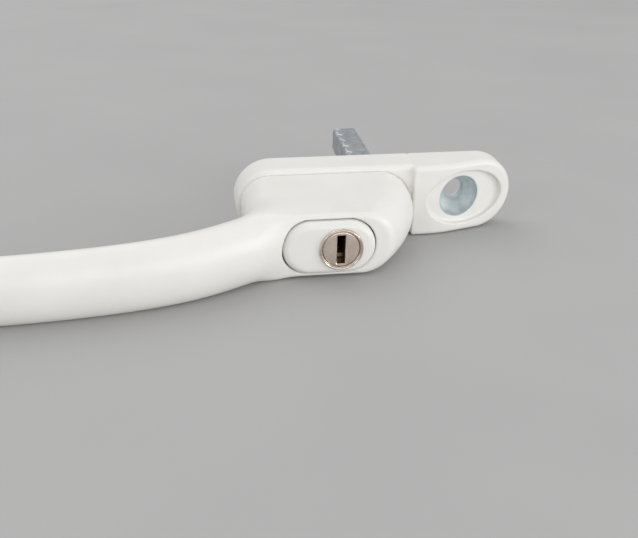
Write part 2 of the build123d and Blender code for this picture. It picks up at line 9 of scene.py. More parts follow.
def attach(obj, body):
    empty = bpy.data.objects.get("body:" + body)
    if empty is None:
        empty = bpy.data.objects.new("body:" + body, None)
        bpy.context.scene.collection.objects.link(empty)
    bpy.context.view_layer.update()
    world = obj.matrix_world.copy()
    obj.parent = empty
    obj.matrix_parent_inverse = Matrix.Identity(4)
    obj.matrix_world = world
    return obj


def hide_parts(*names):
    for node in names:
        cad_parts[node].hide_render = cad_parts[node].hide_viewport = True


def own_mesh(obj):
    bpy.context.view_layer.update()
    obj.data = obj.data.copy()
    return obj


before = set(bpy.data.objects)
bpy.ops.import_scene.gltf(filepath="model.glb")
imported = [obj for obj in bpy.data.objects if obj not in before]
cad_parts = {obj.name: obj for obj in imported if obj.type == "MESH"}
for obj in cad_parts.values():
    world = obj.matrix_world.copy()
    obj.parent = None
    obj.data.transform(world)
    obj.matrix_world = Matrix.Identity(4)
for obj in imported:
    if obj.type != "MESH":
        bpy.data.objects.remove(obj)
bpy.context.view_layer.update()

# Sizes in millimetres, in the design frame: X along the base, Y across it and Z out of
# the window face. at() turns such a point into the scene's metres. FLOOR_HALF is in metres.
MM = 0.001
FINE = 1.0

BASE_LENGTH = 73.0
BASE_WIDTH = 19.0
PLATFORM_TOP = 9.2
BLOCK_TOP = 10.9
BLOCK_START = 8.5
BLOCK_FLAT_END = 12.0
BLOCK_BEND = 30.0
BLOCK_FALL = math.radians(15.5)
BASE_ROUND = 1.3
RECESS_X = 22.9
RECESS_HALF = (10.7, 7.15)
RECESS_DEPTH = 1.4
SCREW_X = 21.5
SCREW_HOLE = 2.75
SCREW_WELL = 5.5
SCREW_SEAT = 3.0
BUSH_OUTER = 7.0
BUSH_FLANGE = 7.9
BUSH_SEAT = 8.6
BUSH_TOP = 9.45
BACK_RECESS = 8.2
BACK_RECESS_DEPTH = 4.4
NECK = 6.0
NECK_END = 0.8
RING_GROOVE = 5.4
RING_SLOT = (1.75, 2.85)
CROSS_PIN_Z = 6.6
HEAD_BOTTOM = 9.5
HEAD_TOP = 33.5
HEAD_LEFT = -35.4
HEAD_RIGHT = 7.6
HEAD_HALF = 8.4
HEAD_CORNER = 7.0
HEAD_DRAFT = math.tan(math.radians(1.6))
HEAD_FLOOR = 13.5
NOSE_START = 14.0
NOSE_DRAFT = 0.04
NOSE_SLOPE = 0.1
NOSE_BEND = 0.018
GRIP_POINTS = [(-23, 22.5), (-38.5, 34.6), (-56, 42.1), (-82, 45.9), (-115.5, 46.6)]
GRIP_WIDTHS = (7.9, 7.5)
GRIP_DEPTHS = (6.6, 5.0)
GRIP_TIP = 7.0
BUTTON_X = -17.3
BUTTON_HALF = 10.8
BUTTON_RADIUS = 6.5
BUTTON_FACE = 35.2
BUTTON_BACK = 27.5
BUTTON_TRAVEL = 2.5
GUIDE_X = (-25.4, -8.2)
GUIDE_HALF = 5.55
GUIDE_BACK = 16.5
CYLINDER_X = -14.75
HOUSING = 4.9
RIM = 5.15
RIM_TOP = 35.9
HOUSING_BACK = 21.6
PLUG = 4.3
PLUG_FACE = 35.4
KEYWAY_HALF = 0.95
KEYWAY_ENDS = (-3.65, 3.4)
KEYWAY_FLOOR = 24.0
GRUB_Z = 24.0
WAFER_FIRST = 25.36
WAFER_PITCH = 1.5
WAFER_SLOT = 0.58
WAFER_COUNT = 5
CATCH_Z = (18.45, 20.35)
PLUG_TAIL = 1.95
CAM_SCREW_HEAD = 1.3
PIN_X = -12.3
PIN_TIP = 9.65
PIN_COLLAR = 2.0
PIN_COLLAR_TOP = 11.5
PIN_SHANK = 1.5
PIN_THREAD_RADIUS = 1.0
PIN_HOLE_DEPTH = 3.4
PIN_THREAD = 1.8
SPRING_X = -22.2
SPRING_RADIUS = 1.6
SPRING_WIRE = 0.45
SPRING_LENGTH = 8.8
SPRING_TURNS = 7
SPINDLE_HALF = 3.5
SPINDLE_REACH = 40.0
SPINDLE_TOP = 15.0
NOTCH_PITCH = 5.0
NOTCH_FIRST = 1.8
NOTCH_COUNT = 7
NOTCH_RADIUS = 3.75
NOTCH_SPREAD = 1.3
FLOOR_TILT = math.radians(-3.2)
FLOOR_HALF = 4.0


def at(x, y, z):
    """A point of the design frame, in the scene's metres."""
    return Vector((x, -z, y)) * MM


# ---------------------------------------------------------------- distance fields
# A shape is a function that is negative inside it. These join, cut and trim shapes,
# with a rounded edge or a rounded inner corner.

def blend(a, b, r):
    """Both shapes, with a smooth fillet where they meet."""
    h = np.clip(0.5 + 0.5 * (b - a) / r, 0, 1)
    return b * (1 - h) + a * h - r * h * (1 - h)


def both(a, b, r=0.01):
    """What two shapes share, with its edge rounded to r."""
    u = np.maximum(a + r, 0)
    v = np.maximum(b + r, 0)
    return np.minimum(np.maximum(a, b), -r) + np.sqrt(u * u + v * v)


def cut(a, b, r=0.01):
    """The first shape without the second, with the rim rounded to r."""
    return both(a, -b, r)


def disc(x, y, radius, centre_x=0.0):
    """Upright cylinder, without ends."""
    return np.sqrt((x - centre_x) ** 2 + y**2) - radius


def stadium(x, y, half_length, radius, centre_x=0.0):
    """Upright prism with straight sides and round ends, without top and bottom."""
    past = np.maximum(np.abs(x - centre_x) - (half_length - radius), 0)
    return np.sqrt(past**2 + y**2) - radius


def slab(value, low, high):
    """Between two planes."""
    return np.maximum(low - value, value - high)


def rounded_rectangle(x, y, half_x, half_y, corner, centre_x=0.0):
    """Upright prism on a rectangle with rounded corners."""
    u = np.abs(x - centre_x) - half_x + corner
    v = np.abs(y) - half_y + corner
    outside = np.sqrt(np.maximum(u, 0) ** 2 + np.maximum(v, 0) ** 2)
    return outside + np.minimum(np.maximum(u, v), 0) - corner


# ---------------------------------------------------------------- meshes

def surface(field, low, high, step):
    """Points and faces of the surface where a field is nought, one point to each cell
    that the surface crosses, moved onto the surface itself."""
    step = step * FINE
    axes = [np.arange(a - 1.5 * step, b + 2.5 * step, step) for a, b in zip(low, high)]
    value = field(*np.meshgrid(*axes, indexing="ij", sparse=True)).astype(np.float32)
    value = np.broadcast_to(value, tuple(len(a) for a in axes))
    inside = value < 0
    shape = tuple(n - 1 for n in inside.shape)
    corners = [(i, j, k) for i in (0, 1) for j in (0, 1) for k in (0, 1)]
    total = np.zeros(shape, np.uint8)
    for i, j, k in corners:
        total += inside[i : i + shape[0], j : j + shape[1], k : k + shape[2]]
    cells = np.argwhere((total > 0) & (total < 8))
    index = np.full(shape, -1, np.int32)
    index[tuple(cells.T)] = np.arange(len(cells))
    held = {c: value[tuple((cells + c).T)].astype(float) for c in corners}
    where = np.zeros((len(cells), 3))
    crossed = np.zeros(len(cells))
    for a in corners:
        for b in corners:
            if sum(abs(p - q) for p, q in zip(a, b)) != 1 or a > b:
                continue
            change = (held[a] < 0) != (held[b] < 0)
            share = np.where(change, held[a] / np.where(change, held[a] - held[b], 1), 0)
            spot = np.array(a) + share[:, None] * (np.array(b) - np.array(a))
            where += spot * change[:, None]
            crossed += change
    origin = np.array([a[0] for a in axes])
    points = origin + (cells + where / crossed[:, None]) * step
    start = points.copy()
    for _ in range(5):
        d, grad = slope(field, points, step * 0.15)
        points -= d[:, None] * grad / np.maximum((grad**2).sum(1), 0.05)[:, None]
        points = start + np.clip(points - start, -0.8 * step, 0.8 * step)
    faces = []
    for axis in range(3):
        o, p = (axis + 1) % 3, (axis + 2) % 3
        first = [slice(1, -1)] * 3
        second = [slice(1, -1)] * 3
        first[axis] = slice(0, -1)
        second[axis] = slice(1, None)
        one, two = inside[tuple(first)], inside[tuple(second)]
        for state, turn in ((one & ~two, 1), (~one & two, -1)):
            e = np.argwhere(state)
            e[:, o] += 1
            e[:, p] += 1
            ring = []
            for du, dv in ((-1, -1), (0, -1), (0, 0), (-1, 0)):
                c = e.copy()
                c[:, o] += du
                c[:, p] += dv
                ring.append(index[tuple(c.T)])
            faces.append(np.stack(ring[::turn], 1))
    return points, np.concatenate(faces)


def slope(field, points, h):
    """A field's value and gradient at points."""
    x, y, z = points.T
    grad = np.empty_like(points)
    for axis in range(3):
        d = np.zeros(3)
        d[axis] = h
        more = field(x + d[0], y + d[1], z + d[2])
        less = field(x - d[0], y - d[1], z - d[2])
        grad[:, axis] = (more - less) / (2 * h)
    return field(x, y, z), grad


def add_mesh(name, points, faces, slot, body, nodes=()):
    """An object from design points; it rides on a body and may stand for CAD nodes."""
    points = np.asarray(points, float)
    placed = np.stack([points[:, 0], -points[:, 2], points[:, 1]], 1) * MM
    mesh = bpy.data.meshes.new(name)
    mesh.from_pydata(placed.tolist(), [], [list(map(int, f)) for f in faces])
    mesh.validate()
    mesh.update()
    mesh.polygons.foreach_set("use_smooth", [True] * len(mesh.polygons))
    mesh.materials.append(FINISH[slot])
    made = bpy.data.objects.new(name, mesh)
    bpy.context.scene.collection.objects.link(made)
    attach(made, body)
    if nodes:
        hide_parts(*nodes)
    return made


def solid(name, field, low, high, step, slot, body, nodes):
    """A field's surface as an object."""
    points, faces = surface(field, low, high, step)
    return add_mesh(name, points, faces, slot, body, nodes)


def lathe(profile, centre_x=0.0, segments=128):
    """Points and faces of a closed profile of (radius, height) turned about Z."""
    points, faces = [], []
    n = len(profile)
    for s in range(segments):
        a = 2 * math.pi * s / segments
        for r, z in profile:
            points.append((centre_x + r * math.cos(a), r * math.sin(a), z))
    for s in range(segments):
        t = (s + 1) % segments
        for i in range(n):
            j = (i + 1) % n
            faces.append((s * n + i, t * n + i, t * n + j, s * n + j))
    return points, faces


def soften(profile, r, steps=3):
    """A closed profile with each of its corners rounded by r, where there is room."""
    out = []
    n = len(profile)
    for i, p in enumerate(profile):
        p = Vector(p)
        before = Vector(profile[i - 1]) - p
        after = Vector(profile[(i + 1) % n]) - p
        reach = min(r, before.length * 0.45, after.length * 0.45)
        a = p + before.normalized() * reach
        b = p + after.normalized() * reach
        for s in range(steps + 1):
            t = s / steps
            out.append(tuple(a * (1 - t) ** 2 + p * 2 * t * (1 - t) + b * t**2))
    return out


# ---------------------------------------------------------------- materials

def nodes_of(name, colour, roughness, metallic=0.0):
    """A new material's tree, its shader, and the object's own coordinates in metres."""
    made = bpy.data.materials.new(name)
    made.use_nodes = True
    tree = made.node_tree
    shader = tree.nodes["Principled BSDF"]
    shader.inputs["Base Color"].default_value = (*colour, 1)
    shader.inputs["Roughness"].default_value = roughness
    shader.inputs["Metallic"].default_value = metallic
    where = tree.nodes.new("ShaderNodeTexCoord").outputs["Object"]
    return made, tree, shader, where


def noise(tree, where, size, detail=2.0, rough=0.5):
    """Noise whose features are about that many millimetres across."""
    made = tree.nodes.new("ShaderNodeTexNoise")
    made.inputs["Scale"].default_value = 1 / (size * MM)
    made.inputs["Detail"].default_value = detail
    made.inputs["Roughness"].default_value = rough
    tree.links.new(where, made.inputs["Vector"])
    return made.outputs["Fac"]


def spread(tree, value, low, high, span=(0.3, 0.7)):
    """A noise value turned into a number between low and high."""
    made = tree.nodes.new("ShaderNodeMapRange")
    made.inputs["From Min"].default_value = span[0]
    made.inputs["From Max"].default_value = span[1]
    made.inputs["To Min"].default_value = low
    made.inputs["To Max"].default_value = high
    tree.links.new(value, made.inputs["Value"])
    return made.outputs["Result"]


def tint(tree, value, dark, light, span=(0.3, 0.7)):
    """A noise value turned into a colour between two."""
    made = tree.nodes.new("ShaderNodeValToRGB")
    made.color_ramp.elements[0].position = span[0]
    made.color_ramp.elements[1].position = span[1]
    made.color_ramp.elements[0].color = (*dark, 1)
    made.color_ramp.elements[1].color = (*light, 1)
    tree.links.new(value, made.inputs["Fac"])
    return made.outputs["Color"]


def bump(tree, height, depth, strength=1.0, under=None):
    """A bump of that many millimetres, on top of another if there is one."""
    made = tree.nodes.new("ShaderNodeBump")
    made.inputs["Strength"].default_value = strength
    made.inputs["Distance"].default_value = depth * MM
    tree.links.new(height, made.inputs["Height"])
    if under is not None:
        tree.links.new(under, made.inputs["Normal"])
    return made.outputs["Normal"]


def white_coat():
    """Satin white powder coat: a fine orange peel and a faint unevenness of tone."""
    made, tree, shader, where = nodes_of("white_coat", (0.8, 0.8, 0.78), 0.36)
    tone = noise(tree, where, 9.0, 3.0)
    colour = tint(tree, tone, (0.835, 0.820, 0.785), (0.870, 0.855, 0.820))
    tree.links.new(colour, shader.inputs["Base Color"])
    peel = noise(tree, where, 0.75, 1.5)
    grain = noise(tree, where, 0.16, 1.0)
    tree.links.new(spread(tree, peel, 0.30, 0.42), shader.inputs["Roughness"])
    coarse = bump(tree, peel, 0.012, 0.5)
    tree.links.new(bump(tree, grain, 0.002, 0.4, coarse), shader.inputs["Normal"])
    shader.inputs["Specular IOR Level"].default_value = 0.5
    return made


def brushed(name, light, dark, roughness, centre_x=None, size=0.12):
    """Plated metal with fine brush lines: round the cylinder's axis, or along X."""
    made, tree, shader, where = nodes_of(name, light, roughness[0], 1.0)
    if centre_x is None:
        stretch = tree.nodes.new("ShaderNodeMapping")
        stretch.inputs["Scale"].default_value = (1.0, 0.06, 1.0)
        tree.links.new(where, stretch.inputs["Vector"])
        lines = noise(tree, stretch.outputs["Vector"], size, 2.0, 0.6)
    else:
        offset = tree.nodes.new("ShaderNodeVectorMath")
        offset.operation = "SUBTRACT"
        offset.inputs[1].default_value = tuple(at(centre_x, 0, 0))
        tree.links.new(where, offset.inputs[0])
        flat = tree.nodes.new("ShaderNodeVectorMath")
        flat.operation = "MULTIPLY"
        flat.inputs[1].default_value = (1.0, 0.0, 1.0)
        tree.links.new(offset.outputs[0], flat.inputs[0])
        radius = tree.nodes.new("ShaderNodeVectorMath")
        radius.operation = "LENGTH"
        tree.links.new(flat.outputs[0], radius.inputs[0])
        turned = tree.nodes.new("ShaderNodeCombineXYZ")
        tree.links.new(radius.outputs["Value"], turned.inputs["X"])
        wander = tree.nodes.new("ShaderNodeVectorMath")
        wander.operation = "SCALE"
        wander.inputs["Scale"].default_value = 0.05
        tree.links.new(where, wander.inputs[0])
        joined = tree.nodes.new("ShaderNodeVectorMath")
        joined.operation = "ADD"
        tree.links.new(turned.outputs[0], joined.inputs[0])
        tree.links.new(wander.outputs[0], joined.inputs[1])
        lines = noise(tree, joined.outputs[0], size, 2.0, 0.6)
    blotch = noise(tree, where, 1.8, 3.0)
    tree.links.new(tint(tree, blotch, dark, light), shader.inputs["Base Color"])
    tree.links.new(spread(tree, lines, *roughness), shader.inputs["Roughness"])
    tree.links.new(bump(tree, lines, 0.004, 0.35), shader.inputs["Normal"])
    return made


def zinc_steel():
    """Zinc-plated steel: cool grey with a blue passivate and a patchy, crystalline sheen."""
    made, tree, shader, where = nodes_of("zinc_steel", (0.55, 0.6, 0.63), 0.3, 1.0)
    patch = noise(tree, where, 2.2, 4.0, 0.6)
    colour = tint(tree, patch, (0.32, 0.35, 0.375), (0.52, 0.545, 0.57))
    tree.links.new(colour, shader.inputs["Base Color"])
    grain = noise(tree, where, 0.25, 3.0, 0.6)
    tree.links.new(spread(tree, grain, 0.24, 0.42), shader.inputs["Roughness"])
    tree.links.new(bump(tree, grain, 0.01, 0.4), shader.inputs["Normal"])
    return made


def spring_steel():
    """Oiled spring steel: dark, with fine drawing marks."""
    made, tree, shader, where = nodes_of("spring_steel", (0.3, 0.3, 0.31), 0.3, 1.0)
    patch = noise(tree, where, 1.2, 3.0)
    tree.links.new(
        tint(tree, patch, (0.20, 0.20, 0.215), (0.40, 0.40, 0.41)), shader.inputs["Base Color"]
    )
    grain = noise(tree, where, 0.12, 2.0)
    tree.links.new(spread(tree, grain, 0.25, 0.45), shader.inputs["Roughness"])
    tree.links.new(bump(tree, grain, 0.004, 0.3), shader.inputs["Normal"])
    return made


def brass():
    """Stamped brass, slightly dulled."""
    made, tree, shader, where = nodes_of("brass", (0.72, 0.56, 0.33), 0.32, 1.0)
    patch = noise(tree, where, 0.9, 3.0)
    tree.links.new(
        tint(tree, patch, (0.50, 0.38, 0.21), (0.78, 0.62, 0.38)), shader.inputs["Base Color"]
    )
    grain = noise(tree, where, 0.1, 2.0)
    tree.links.new(spread(tree, grain, 0.26, 0.46), shader.inputs["Roughness"])
    tree.links.new(bump(tree, grain, 0.004, 0.4), shader.inputs["Normal"])
    return made


def keyway_shaded_brass():
    """Brass inside the keyway: lighter near the mouth, darkened to near black further in as painted
    shade.
    """
    made, tree, shader, where = nodes_of("keyway_shaded_brass", (0.2, 0.15, 0.1), 0.45, 1.0)
    axes = tree.nodes.new("ShaderNodeSeparateXYZ")
    tree.links.new(where, axes.inputs["Vector"])
    wander = noise(tree, where, 0.8, 3.0)
    shift = tree.nodes.new("ShaderNodeMath")
    shift.operation = "MULTIPLY_ADD"
    shift.inputs[1].default_value = 0.0012
    tree.links.new(wander, shift.inputs[0])
    tree.links.new(axes.outputs["Y"], shift.inputs[2])
    # Depth into the keyway sets the painted shade: brass at the mouth, near black deeper in.
    mouth = -PLUG_FACE * MM
    depth = spread(tree, shift.outputs[0], 0.0, 1.0, (mouth + 0.0005, mouth + 0.0050))
    colour = tint(tree, depth, (0.30, 0.22, 0.14), (0.012, 0.009, 0.007), (0.0, 1.0))
    tree.links.new(colour, shader.inputs["Base Color"])
    grain = noise(tree, where, 0.1, 2.0)
    tree.links.new(spread(tree, grain, 0.35, 0.6), shader.inputs["Roughness"])
    tree.links.new(bump(tree, grain, 0.005, 0.4), shader.inputs["Normal"])
    return made


def coat_with_shaded_wells(made):
    """The base's coat: in the screw wells the coat is thinner and the cool metal shows through, and
    the well walls are darkened as painted shade.
    """
    tree = made.node_tree
    shader = tree.nodes["Principled BSDF"]
    where = tree.nodes["Texture Coordinate"].outputs["Object"]
    axes = tree.nodes.new("ShaderNodeSeparateXYZ")
    tree.links.new(where, axes.inputs["Vector"])
    side = tree.nodes.new("ShaderNodeMath")
    side.operation = "ABSOLUTE"
    tree.links.new(axes.outputs["X"], side.inputs[0])
    across = tree.nodes.new("ShaderNodeMath")
    across.operation = "SUBTRACT"
    across.inputs[1].default_value = SCREW_X * MM
    tree.links.new(side.outputs[0], across.inputs[0])
    flat = tree.nodes.new("ShaderNodeCombineXYZ")
    tree.links.new(across.outputs[0], flat.inputs["X"])
    tree.links.new(axes.outputs["Z"], flat.inputs["Z"])
    radius = tree.nodes.new("ShaderNodeVectorMath")
    radius.operation = "LENGTH"
    tree.links.new(flat.outputs[0], radius.inputs[0])
    # Mask of the screw well walls, where the coat gets its painted shade.
    edge = SCREW_WELL * MM
    well_shade = spread(tree, radius.outputs["Value"], 1.0, 0.0, (edge + 0.00002, edge + 0.00025))
    inside = tree.nodes.new("ShaderNodeMath")
    inside.operation = "MULTIPLY"
    tree.links.new(well_shade, inside.inputs[0])
    back = spread(tree, axes.outputs["Y"], 1.0, 0.0, (-0.0006, -0.0003))
    tree.links.new(back, inside.inputs[1])
    mixed = tree.nodes.new("ShaderNodeMix")
    mixed.data_type = "RGBA"
    old = shader.inputs["Base Color"].links[0].from_socket
    tree.links.new(inside.outputs[0], mixed.inputs["Factor"])
    tree.links.new(old, mixed.inputs["A"])
    # Bluish grey for the well walls, far darker than the coat: painted shade over a cool metal
    # tint.
    streak = noise(tree, where, 2.0, 3.0)
    metal = tint(tree, streak, (0.45, 0.525, 0.54), (0.64, 0.70, 0.715))
    tree.links.new(metal, mixed.inputs["B"])
    tree.links.new(mixed.outputs["Result"], shader.inputs["Base Color"])
    return made


def nylon():
    """Moulded natural nylon: cream, faintly mottled, a little light passing into it."""
    made, tree, shader, where = nodes_of("nylon", (0.78, 0.76, 0.70), 0.45)
    patch = noise(tree, where, 2.5, 3.0)
    tree.links.new(
        tint(tree, patch, (0.70, 0.68, 0.61), (0.80, 0.785, 0.73)), shader.inputs["Base Color"]
    )
    grain = noise(tree, where, 0.2, 2.0)
    tree.links.new(spread(tree, grain, 0.38, 0.55), shader.inputs["Roughness"])
    tree.links.new(bump(tree, grain, 0.006, 0.3), shader.inputs["Normal"])
    shader.inputs["Subsurface Weight"].default_value = 0.15
    shader.inputs["Subsurface Radius"].default_value = (0.002, 0.0016, 0.0012)
    shader.inputs["Subsurface Scale"].default_value = 0.5
    return made


FINISH = {
    "white_coat": white_coat(),
    "nickel": brushed(
        "nickel", (0.80, 0.715, 0.64), (0.66, 0.58, 0.51), (0.12, 0.24), CYLINDER_X
    ),
    "zinc_steel": zinc_steel(),
    "spring_steel": spring_steel(),
    "brass": brass(),
    "nylon": nylon(),
}
# The base's coat, with painted shade in its screw wells.
SHADED_WELL_COAT = coat_with_shaded_wells(white_coat())
KEYWAY_SHADED_BRASS = keyway_shaded_brass()
PLUG_NICKEL = brushed(
    "plug_nickel", (0.92, 0.79, 0.68), (0.80, 0.68, 0.58), (0.16, 0.30), CYLINDER_X
)


# ---------------------------------------------------------------- base plate

BEND_END = BLOCK_FLAT_END + BLOCK_BEND * math.sin(BLOCK_FALL)
BEND_DROP = BLOCK_BEND * (1 - math.cos(BLOCK_FALL))


def block_top(x, z):
    """Distance above the block's top: flat, then a bend, then a straight fall."""
    into = np.clip(x - BLOCK_FLAT_END, 0, BEND_END - BLOCK_FLAT_END)
    drop = BLOCK_BEND - np.sqrt(BLOCK_BEND**2 - into**2)
    drop = drop + np.tan(BLOCK_FALL) * np.maximum(x - BEND_END, 0)
    lean = np.sqrt(1 - (into / BLOCK_BEND) ** 2)
    return (z - BLOCK_TOP + drop) * lean


def fall_plane(x, z):
    """Distance above the plane that the fall lies in."""
    drop = BEND_DROP + math.tan(BLOCK_FALL) * (x - BEND_END)
    return (z - BLOCK_TOP + drop) * math.cos(BLOCK_FALL)


def ellipse(x, y, a, b, centre_x):
    """Upright elliptical cylinder, without ends."""
    u = (x - centre_x) / a
    v = y / b
    k = np.sqrt(u * u + v * v)
    steep = np.sqrt((u / a) ** 2 + (v / b) ** 2)
    return (k - 1) * np.where(k < 0.01, b, k / np.maximum(steep, 1e-6))


def base_field(x, y, z):
    """Cast base: platform under the lever, raised block with its recess, bores."""
    outline = stadium(x, y, BASE_LENGTH / 2, BASE_WIDTH / 2)
    platform = np.maximum(z - PLATFORM_TOP, x - BLOCK_START - 1)
    block = both(block_top(x, z), BLOCK_START - x, 0.5)
    solid_part = both(outline, blend(platform, block, 0.5), BASE_ROUND)
    solid_part = both(solid_part, -z, 0.25)
    floor = -fall_plane(x, z) - RECESS_DEPTH
    recess = both(ellipse(x, y, *RECESS_HALF, RECESS_X), floor, 0.5)
    solid_part = cut(solid_part, recess, 0.45)
    for side in (-1, 1):
        hole = disc(x, y, SCREW_HOLE, side * SCREW_X)
        wall = disc(x, y, SCREW_WELL, side * SCREW_X)
        cone = (wall + SCREW_WELL - SCREW_HOLE + SCREW_SEAT - z) * math.sqrt(0.5)
        head = both(wall, cone, 0.6)
        solid_part = cut(solid_part, hole, 0.12)
        solid_part = cut(solid_part, head, 0.25)
    solid_part = cut(solid_part, disc(x, y, BUSH_OUTER), 0.05)
    solid_part = cut(solid_part, both(disc(x, y, BUSH_FLANGE), BUSH_SEAT - z), 0.15)
    solid_part = cut(solid_part, both(disc(x, y, BACK_RECESS), z - BACK_RECESS_DEPTH, 0.3), 0.3)
    return cut(solid_part, both(disc(x, y, 2.1, PIN_X), PLATFORM_TOP - PIN_HOLE_DEPTH - z), 0.2)


# ---------------------------------------------------------------- lever

def curve_points(count):
    """Points and directions, evenly spaced along a smooth curve through GRIP_POINTS."""
    p = [np.array(q, float) for q in GRIP_POINTS]
    tangent = [np.array((-0.74, 0.67)) * 22.0]
    tangent += [(p[i + 1] - p[i - 1]) / 2 for i in range(1, len(p) - 1)]
    tangent += [np.array((-1.0, 0.0)) * 30.0]
    line = []
    for i in range(len(p) - 1):
        for s in np.linspace(0, 1, 120, endpoint=False):
            line.append(
                p[i] * (2 * s**3 - 3 * s**2 + 1)
                + tangent[i] * (s**3 - 2 * s**2 + s)
                + p[i + 1] * (-2 * s**3 + 3 * s**2)
                + tangent[i + 1] * (s**3 - s**2)
            )
    line = np.array(line + [p[-1]])
    length = np.concatenate([[0], np.cumsum(np.linalg.norm(np.diff(line, axis=0), axis=1))])
    even = np.linspace(0, length[-1], count)
    spots = np.stack([np.interp(even, length, line[:, i]) for i in (0, 1)], 1)
    directions = np.gradient(spots, axis=0)
    directions /= np.linalg.norm(directions, axis=1)[:, None]
    return spots, directions, length[-1]


GRIP_LINE, GRIP_WAY, GRIP_LENGTH = curve_points(360)


def grip_field(x, y, z):
    """Oval bar along the grip's line, with a rounded tip."""
    px, pz = np.broadcast_arrays(x, z)
    flat = np.stack([px.ravel(), pz.ravel()], 1)
    along = np.empty(len(flat))
    off = np.empty(len(flat))
    past = np.empty(len(flat))
    gap = GRIP_LENGTH / (len(GRIP_LINE) - 1)
    for start in range(0, len(flat), 20000):
        part = flat[start : start + 20000]
        span = part[:, None] - GRIP_LINE[None]
        near = (span**2).sum(2).argmin(1)
        d = span[np.arange(len(part)), near]
        way = GRIP_WAY[near]
        ahead = (d * way).sum(1)
        raw = near * gap + ahead
        along[start : start + 20000] = np.clip(raw, 0, GRIP_LENGTH)
        past[start : start + 20000] = raw - np.clip(raw, 0, GRIP_LENGTH)
        off[start : start + 20000] = d[:, 0] * way[:, 1] - d[:, 1] * way[:, 0]
    along, off, past = (v.reshape(px.shape) for v in (along, off, past))
    left = 1 - along / GRIP_LENGTH
    half_width = GRIP_WIDTHS[1] + (GRIP_WIDTHS[0] - GRIP_WIDTHS[1]) * left
    root = np.clip(along / 15.0, 0, 1)
    half_width = half_width * (0.55 + 0.45 * root * root * (3 - 2 * root))
    half_depth = GRIP_DEPTHS[1] + (GRIP_DEPTHS[0] - GRIP_DEPTHS[1]) * left**3
    half_tip = np.where(past > 0, GRIP_TIP - 0.5, 3.0)
    u, v, w = y / half_width, off / half_depth, past / half_tip
    k = np.sqrt(u * u + v * v + w * w)
    steep = np.sqrt((u / half_width) ** 2 + (v / half_depth) ** 2 + (w / half_tip) ** 2)
    return (k - 1) * np.where(k < 0.02, half_depth, k / np.maximum(steep, 1e-6))


def head_field(x, y, z):
    """Head: drafted sides, round nose that leans back, rounded front edge."""
    rise = np.clip(z, HEAD_BOTTOM - 1, HEAD_TOP + 1) - HEAD_BOTTOM
    half = HEAD_HALF - rise * HEAD_DRAFT
    over = np.maximum(rise + HEAD_BOTTOM - NOSE_START, 0)
    nose = HEAD_RIGHT - NOSE_DRAFT * rise - NOSE_BEND * over**2 - NOSE_SLOPE * over
    middle = (nose + HEAD_LEFT) / 2
    corner = np.where(x < middle, HEAD_CORNER, half)
    u = np.abs(x - middle) - (nose - HEAD_LEFT) / 2 + corner
    v = np.abs(y) - half + corner
    outside = np.sqrt(np.maximum(u, 0) ** 2 + np.maximum(v, 0) ** 2)
    outline = outside + np.minimum(np.maximum(u, v), 0) - corner
    body = both(outline, z - HEAD_TOP, 1.2)
    return both(body, HEAD_BOTTOM - z, 0.2)


def lever_field(x, y, z):
    """Head, grip and neck in one casting, cored for the lock and the spindle."""
    shape = blend(head_field(x, y, z), grip_field(x, y, z), 4.5)
    shape = np.maximum(shape, -9.0 - y)
    neck = both(disc(x, y, NECK), slab(z, NECK_END, HEAD_BOTTOM + 1), 0.2)
    groove = np.maximum(RING_GROOVE - np.sqrt(x * x + y * y), slab(z, *RING_SLOT))
    neck = cut(neck, groove, 0.05)
    shape = np.minimum(shape, neck)
    pocket = stadium(x, y, BUTTON_HALF + 0.3, BUTTON_RADIUS + 0.3, BUTTON_X)
    floor = BUTTON_BACK - BUTTON_TRAVEL - 0.5
    shape = cut(shape, both(pocket, floor - z, 0.3), 0.15)
    guide_middle = sum(GUIDE_X) / 2
    guide_length = (GUIDE_X[1] - GUIDE_X[0]) / 2 + 0.2
    guide = rounded_rectangle(x, y, guide_length, GUIDE_HALF + 0.2, 2.2, guide_middle)
    shape = cut(shape, np.maximum(guide, HEAD_FLOOR - z), 0.15)
    shape = cut(shape, disc(x, y, 1.6, PIN_X) + np.maximum(z - HEAD_FLOOR - 1, 0), 0.05)
    shape = cut(shape, np.maximum(disc(x, y, 2.15, PIN_X), z - 11.6), 0.1)
    for drop in (0, BUTTON_TRAVEL):
        slot = rounded_rectangle(x, y, 2.7, 6.85, 0.2, CYLINDER_X)
        level = slab(z, CATCH_Z[0] - drop, CATCH_Z[1] - drop)
        slot = np.maximum(slot, np.maximum(level, -y))
        shape = cut(shape, slot, 0.05)
    socket = rounded_rectangle(x, y, SPINDLE_HALF + 0.08, SPINDLE_HALF + 0.08, 0.3)
    shape = cut(shape, np.maximum(socket, z - SPINDLE_TOP - 0.5), 0.05)
    cross = np.sqrt(x**2 + (z - CROSS_PIN_Z) ** 2) - 1.02
    return cut(shape, cross + np.maximum(np.abs(y) - 8, 0), 0.05)


# ---------------------------------------------------------------- button, lock, spindle

